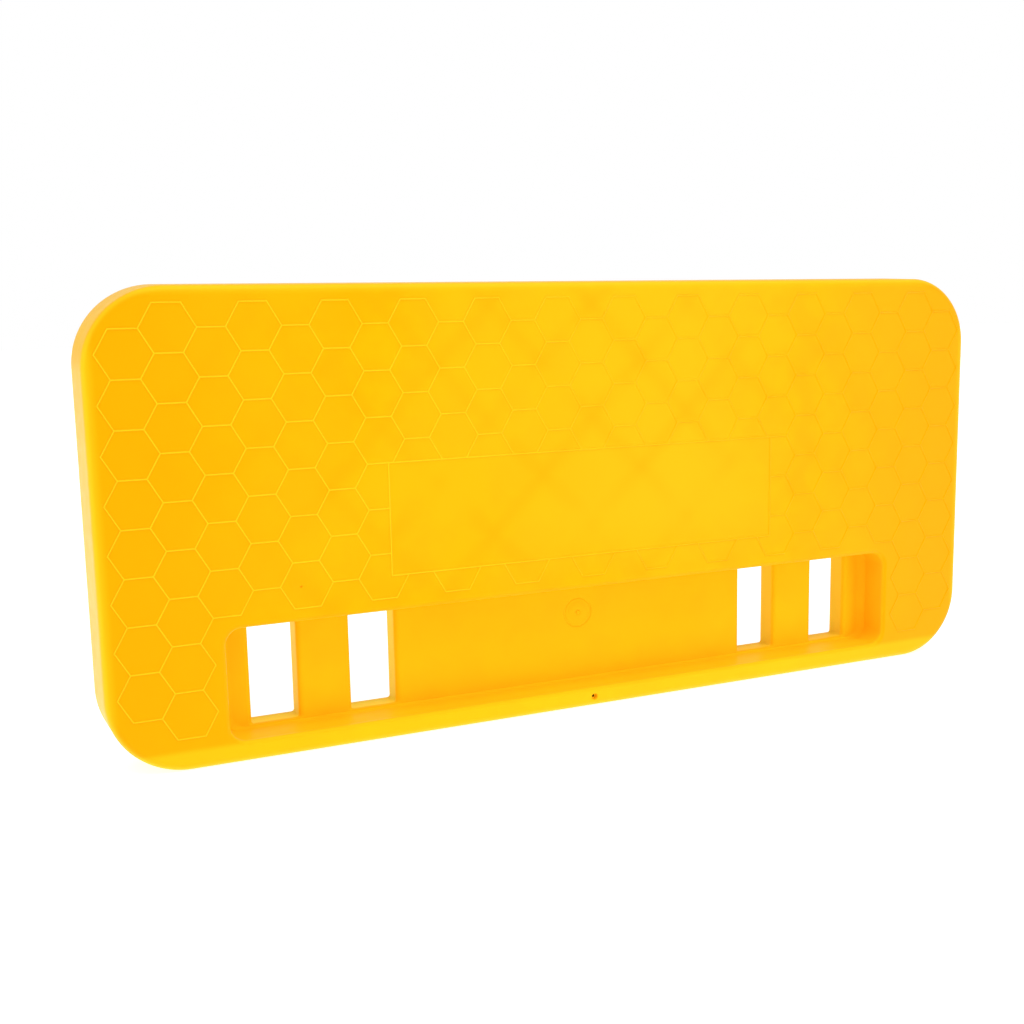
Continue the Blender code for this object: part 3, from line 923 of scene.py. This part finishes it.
def light_table():
    """A pale matt floor, lit a little from within, which keeps shadows faint."""
    nodes = Nodes("pale_floor")
    speckle = nodes.remap(nodes.noise(scale=3, detail=3.0), 0.3, 0.7, 0.0, 1.0)
    colour = nodes.mix(speckle, (0.7, 0.7, 0.7, 1), (0.68, 0.68, 0.68, 1))
    nodes.link(colour, nodes.shader.inputs["Base Color"])
    nodes.shader.inputs["Roughness"].default_value = 0.8
    nodes.shader.inputs["Emission Color"].default_value = (1, 1, 1, 1)
    nodes.shader.inputs["Emission Strength"].default_value = FLOOR_GLOW
    return nodes.material


def dress(piece, material, node):
    """Give the piece its material, hang it on the root body and hide the frame's part that it stands for."""
    piece.data.materials.clear()
    piece.data.materials.append(material)
    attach(piece, "root")
    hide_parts(node)


# Studio

def build_floor():
    mesh = bpy.data.meshes.new("studio_floor")
    work = bmesh.new()
    bmesh.ops.create_grid(work, x_segments=FLOOR_CELLS, y_segments=FLOOR_CELLS, size=FLOOR_REACH)
    work.to_mesh(mesh)
    work.free()
    floor = bpy.data.objects.new("studio_floor", mesh)
    bpy.context.scene.collection.objects.link(floor)
    floor.location.z = FLOOR_Z
    floor.data.materials.append(light_table())


def aim(item, place, target):
    item.location = place
    item.rotation_euler = (Vector(target) - Vector(place)).to_track_quat("-Z", "Y").to_euler()


def add_light(kind, name, place, target, power):
    data = bpy.data.lights.new(name, kind)
    data.energy = power
    light = bpy.data.objects.new(name, data)
    bpy.context.scene.collection.objects.link(light)
    aim(light, place, target)
    return data


def softbox(name, place, target, size, power):
    data = add_light("AREA", name, place, target, power)
    data.shape = "RECTANGLE"
    data.size, data.size_y = size


def build_world():
    """A world that is white where the camera sees it and dimmer as a light."""
    world = bpy.data.worlds.new("white_studio")
    world.use_nodes = True
    tree = world.node_tree
    tree.nodes["Background"].inputs["Color"].default_value = (1, 1, 1, 1)
    path = tree.nodes.new("ShaderNodeLightPath")
    level = tree.nodes.new("ShaderNodeMapRange")
    level.inputs["To Min"].default_value = WORLD_LEVEL
    level.inputs["To Max"].default_value = 1.0
    tree.links.new(path.outputs["Is Camera Ray"], level.inputs["Value"])
    tree.links.new(level.outputs["Result"], tree.nodes["Background"].inputs["Strength"])
    bpy.context.scene.world = world


def build_studio():
    build_world()
    sun = add_light("SUN", "soft_sun", (0.1, -0.65, 1.5), (0, 0, 0), SUN_POWER)
    sun.angle = math.radians(SUN_SPREAD)
    middle = (0, 0, 0.1)
    softbox("overhead", (-0.2, -1.0, 1.9), middle, size=(2.4, 1.4), power=8)
    softbox("left_softbox", (-2.2, -0.3, 0.8), middle, size=(1.6, 1.4), power=8)
    softbox("right_softbox", (1.2, -2.0, 1.3), middle, size=(0.9, 0.9), power=2)
    softbox("low_softbox", (1.2, -1.95, 0.42), (0, 0, 0.15), size=(0.7, 0.6), power=9)
    softbox("rear_softbox", (0.7, 2.3, 0.7), middle, size=(3.0, 1.3), power=4)
    bpy.context.scene.view_settings.view_transform = "Standard"


def build_camera():
    data = bpy.data.cameras.new("camera")
    data.lens = CAMERA_LENS
    data.sensor_width = CAMERA_SENSOR
    data.clip_start = CAMERA_NEAR
    camera = bpy.data.objects.new("camera", data)
    camera.location = CAMERA_PLACE
    camera.rotation_euler = [math.radians(turn) for turn in CAMERA_TURNS]
    bpy.context.scene.collection.objects.link(camera)
    bpy.context.scene.camera = camera


front_yellow = yellow_plastic(
    "front_yellow_plastic", base=(0.95, 0.4, 0.001, 1), deep_tone_and_shade=(0.93, 0.34, 0.001, 1),
    pale_tone_and_light=(0.96, 0.44, 0.006, 1), glow=(0.97, 0.6, 0.012, 1), gloss=0.2,
    places=("lines", "rim", "behind_face"))
rear_yellow = yellow_plastic(
    "rear_yellow_plastic", base=(0.95, 0.54, 0.02, 1), deep_tone_and_shade=(0.93, 0.49, 0.01, 1),
    pale_tone_and_light=(0.96, 0.57, 0.03, 1), glow=(0.98, 0.74, 0.05, 1), gloss=0.38,
    places=("slots",))
steel = zinc_steel()
dress(build_front(), front_yellow, "front_shell")
dress(build_rear(), rear_yellow, "rear_shell")
for screw, name in zip(build_screws(), SCREWS):
    dress(screw, steel, name)
build_floor()
build_studio()
build_camera()
